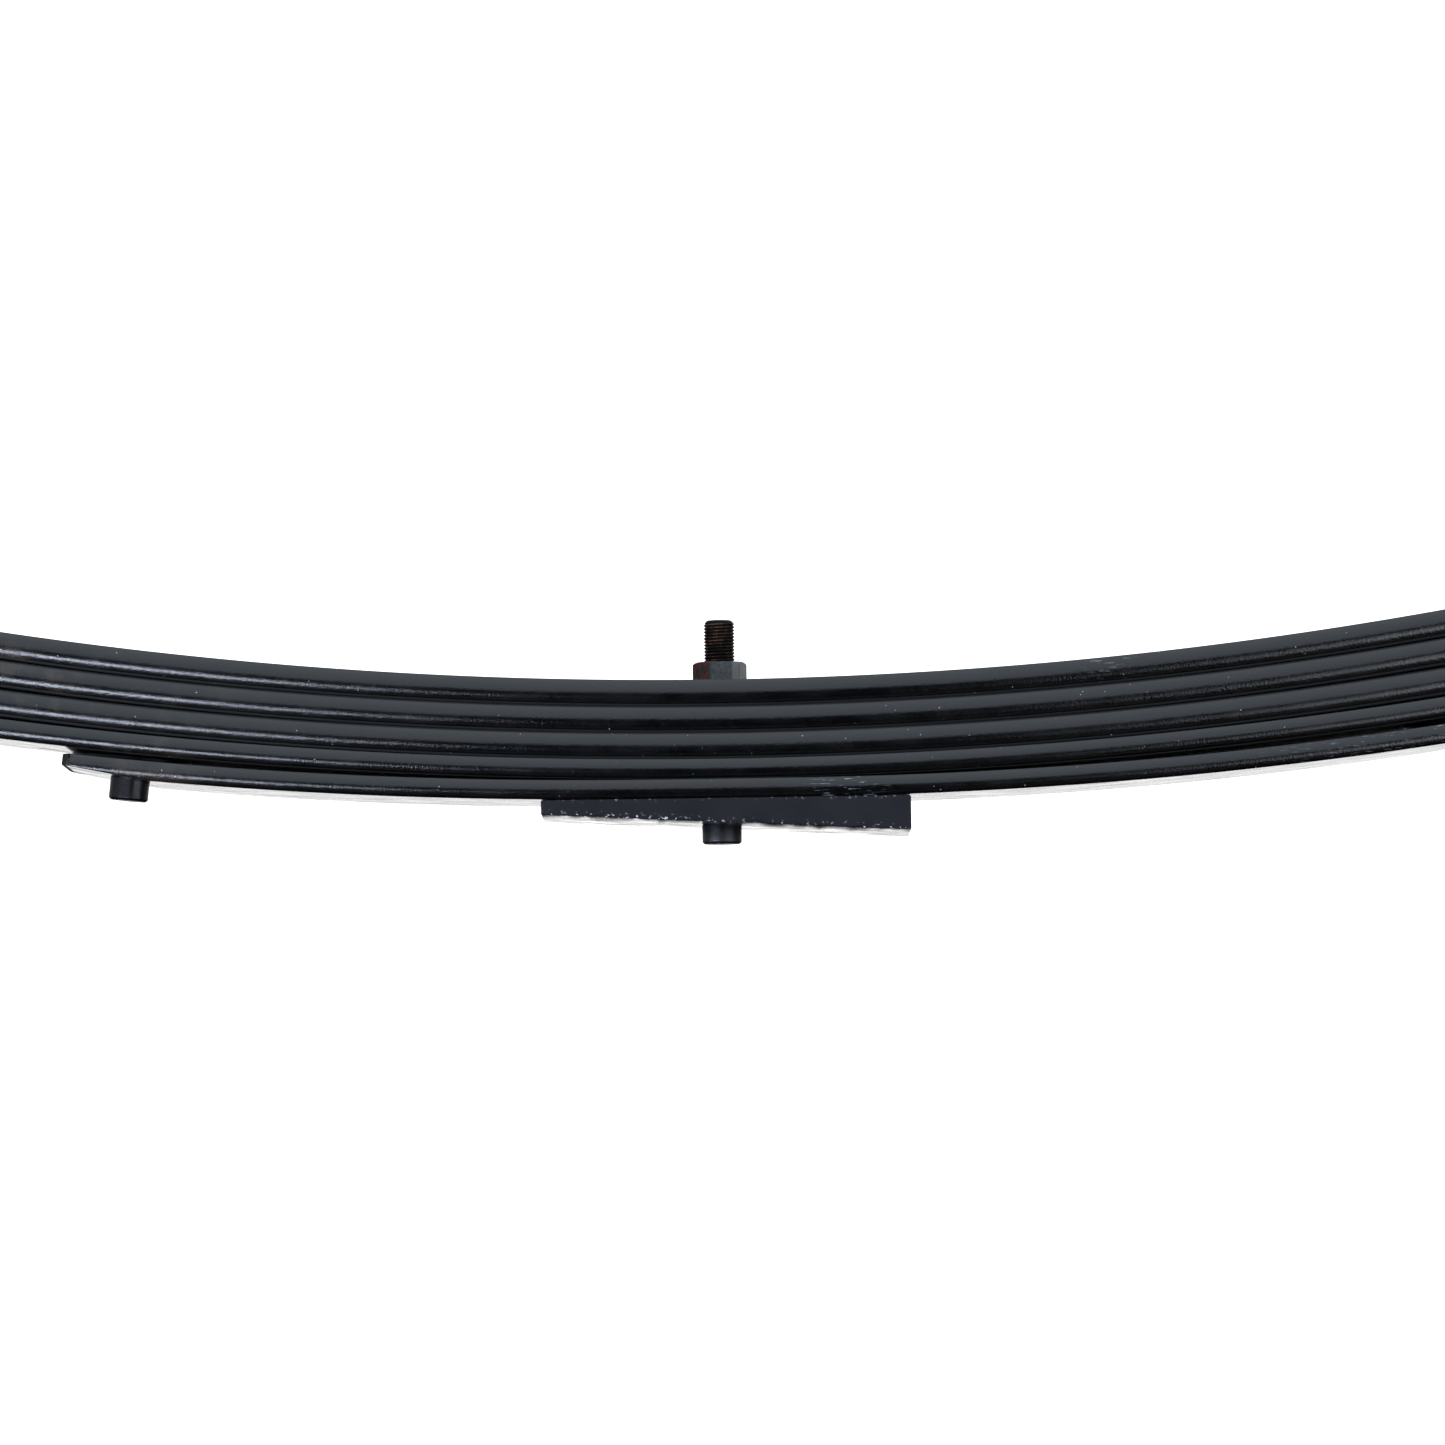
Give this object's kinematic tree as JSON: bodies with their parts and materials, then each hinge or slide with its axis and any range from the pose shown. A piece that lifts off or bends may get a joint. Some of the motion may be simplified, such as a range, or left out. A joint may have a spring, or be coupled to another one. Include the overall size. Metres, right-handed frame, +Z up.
{
  "type": "leaf spring",
  "caption": "Semi-elliptic vehicle leaf spring: stacked arched leaves on a centre bolt over a tapered shim, with rolled bushed eyes, button tip pads and rebound clips.",
  "frame": {"origin": "where the centre bolt's axis crosses the shim's lower face, the seat that lies on the axle", "axes": "+X along the spring towards the longer, rear half; +Y across the leaves; +Z up along the centre bolt, towards the eyes"},
  "size_m": [1.306, 0.1004, 0.2558],
  "materials": {
    "leaf_paint": "satin-gloss black paint over rolled spring steel, fine orange peel, thin grey scuffs at the clamped middle",
    "shim_paint": "matt black paint with chips along its lower edges",
    "bolt_steel": "dark phosphated thread with a brown bloom of rust, black-painted head",
    "nut_steel": "dark zinc-grey nut, rust brown in the corners",
    "pad_nylon": "black nylon, polished where it is moulded",
    "bush_rubber": "matt black rubber",
    "sleeve_zinc": "turned steel, clear zinc",
    "clip_paint": "satin black paint",
    "clip_zinc": "bright zinc, slightly dulled"
  },
  "bodies": {
    "root": {"main_leaf": "leaf_paint", "second_leaf": "leaf_paint", "third_leaf": "leaf_paint", "fourth_leaf": "leaf_paint", "bottom_leaf": "leaf_paint", "centre_bolt": "bolt_steel", "centre_nut": "nut_steel", "degree_shim": "shim_paint"},
    "front_inner": {"bottom_leaf_front_pad": "pad_nylon"},
    "front_middle": {"fourth_leaf_front_pad": "pad_nylon", "third_leaf_front_pad": "pad_nylon", "front_clip_strap": "clip_paint", "front_clip_rivet": "clip_paint", "front_clip_bolt": "clip_zinc", "front_clip_spacer": "clip_zinc", "front_clip_nut": "clip_zinc"},
    "front_outer": {"second_leaf_front_pad": "pad_nylon", "front_eye_bushes": "bush_rubber"},
    "front_sleeve": {"front_eye_sleeve": "sleeve_zinc"},
    "rear_inner": {"bottom_leaf_rear_pad": "pad_nylon"},
    "rear_middle": {"fourth_leaf_rear_pad": "pad_nylon", "third_leaf_rear_pad": "pad_nylon", "rear_clip_strap": "clip_paint", "rear_clip_rivet": "clip_paint", "rear_clip_bolt": "clip_zinc", "rear_clip_spacer": "clip_zinc", "rear_clip_nut": "clip_zinc"},
    "rear_outer": {"second_leaf_rear_pad": "pad_nylon", "rear_eye_bushes": "bush_rubber"},
    "rear_sleeve": {"rear_eye_sleeve": "sleeve_zinc"}
  },
  "joints": [
    {"name": "front_flex", "type": "hinge", "parent": "root", "child": "front_inner", "pos_m": [-0.13, 0, 0.0368], "axis": [0, -1, 0], "range_deg": [-1, 4.8], "stiffness_Nm_per_rad": 30000, "deforming": ["main_leaf", "second_leaf", "third_leaf", "fourth_leaf", "bottom_leaf"]},
    {"name": "front_flex_middle", "type": "hinge", "parent": "front_inner", "child": "front_middle", "pos_m": [-0.2875, 0, 0.0597], "axis": [0, -1, 0], "range_deg": [-1.25, 6]},
    {"name": "front_flex_outer", "type": "hinge", "parent": "front_middle", "child": "front_outer", "pos_m": [-0.4525, 0, 0.1045], "axis": [0, -1, 0], "range_deg": [-1.1, 5.28]},
    {"name": "front_sleeve_turn", "type": "hinge", "parent": "front_outer", "child": "front_sleeve", "pos_m": [-0.56, 0, 0.16846], "axis": [0, 1, 0], "range_deg": [-20, 20], "stiffness_Nm_per_rad": 2.5},
    {"name": "rear_flex", "type": "hinge", "parent": "root", "child": "rear_inner", "pos_m": [0.1575, 0, 0.0391], "axis": [0, 1, 0], "range_deg": [-1, 6.7], "stiffness_Nm_per_rad": 23000, "deforming": ["main_leaf", "second_leaf", "third_leaf", "fourth_leaf", "bottom_leaf"]},
    {"name": "rear_flex_middle", "type": "hinge", "parent": "rear_inner", "child": "rear_middle", "pos_m": [0.355, 0, 0.0724], "axis": [0, 1, 0], "range_deg": [-1, 6.7]},
    {"name": "rear_flex_outer", "type": "hinge", "parent": "rear_middle", "child": "rear_outer", "pos_m": [0.555, 0, 0.1356], "axis": [0, 1, 0], "range_deg": [-1, 6.7]},
    {"name": "rear_sleeve_turn", "type": "hinge", "parent": "rear_outer", "child": "rear_sleeve", "pos_m": [0.69, 0, 0.22054], "axis": [0, 1, 0], "range_deg": [-20, 20], "stiffness_Nm_per_rad": 2.5}
  ],
  "couplings": [
    {"joint": "front_flex_middle", "follows": "front_flex", "ratio": 1.25},
    {"joint": "front_flex_outer", "follows": "front_flex", "ratio": 1.1},
    {"joint": "rear_flex_middle", "follows": "rear_flex", "ratio": 1},
    {"joint": "rear_flex_outer", "follows": "rear_flex", "ratio": 1}
  ]
}
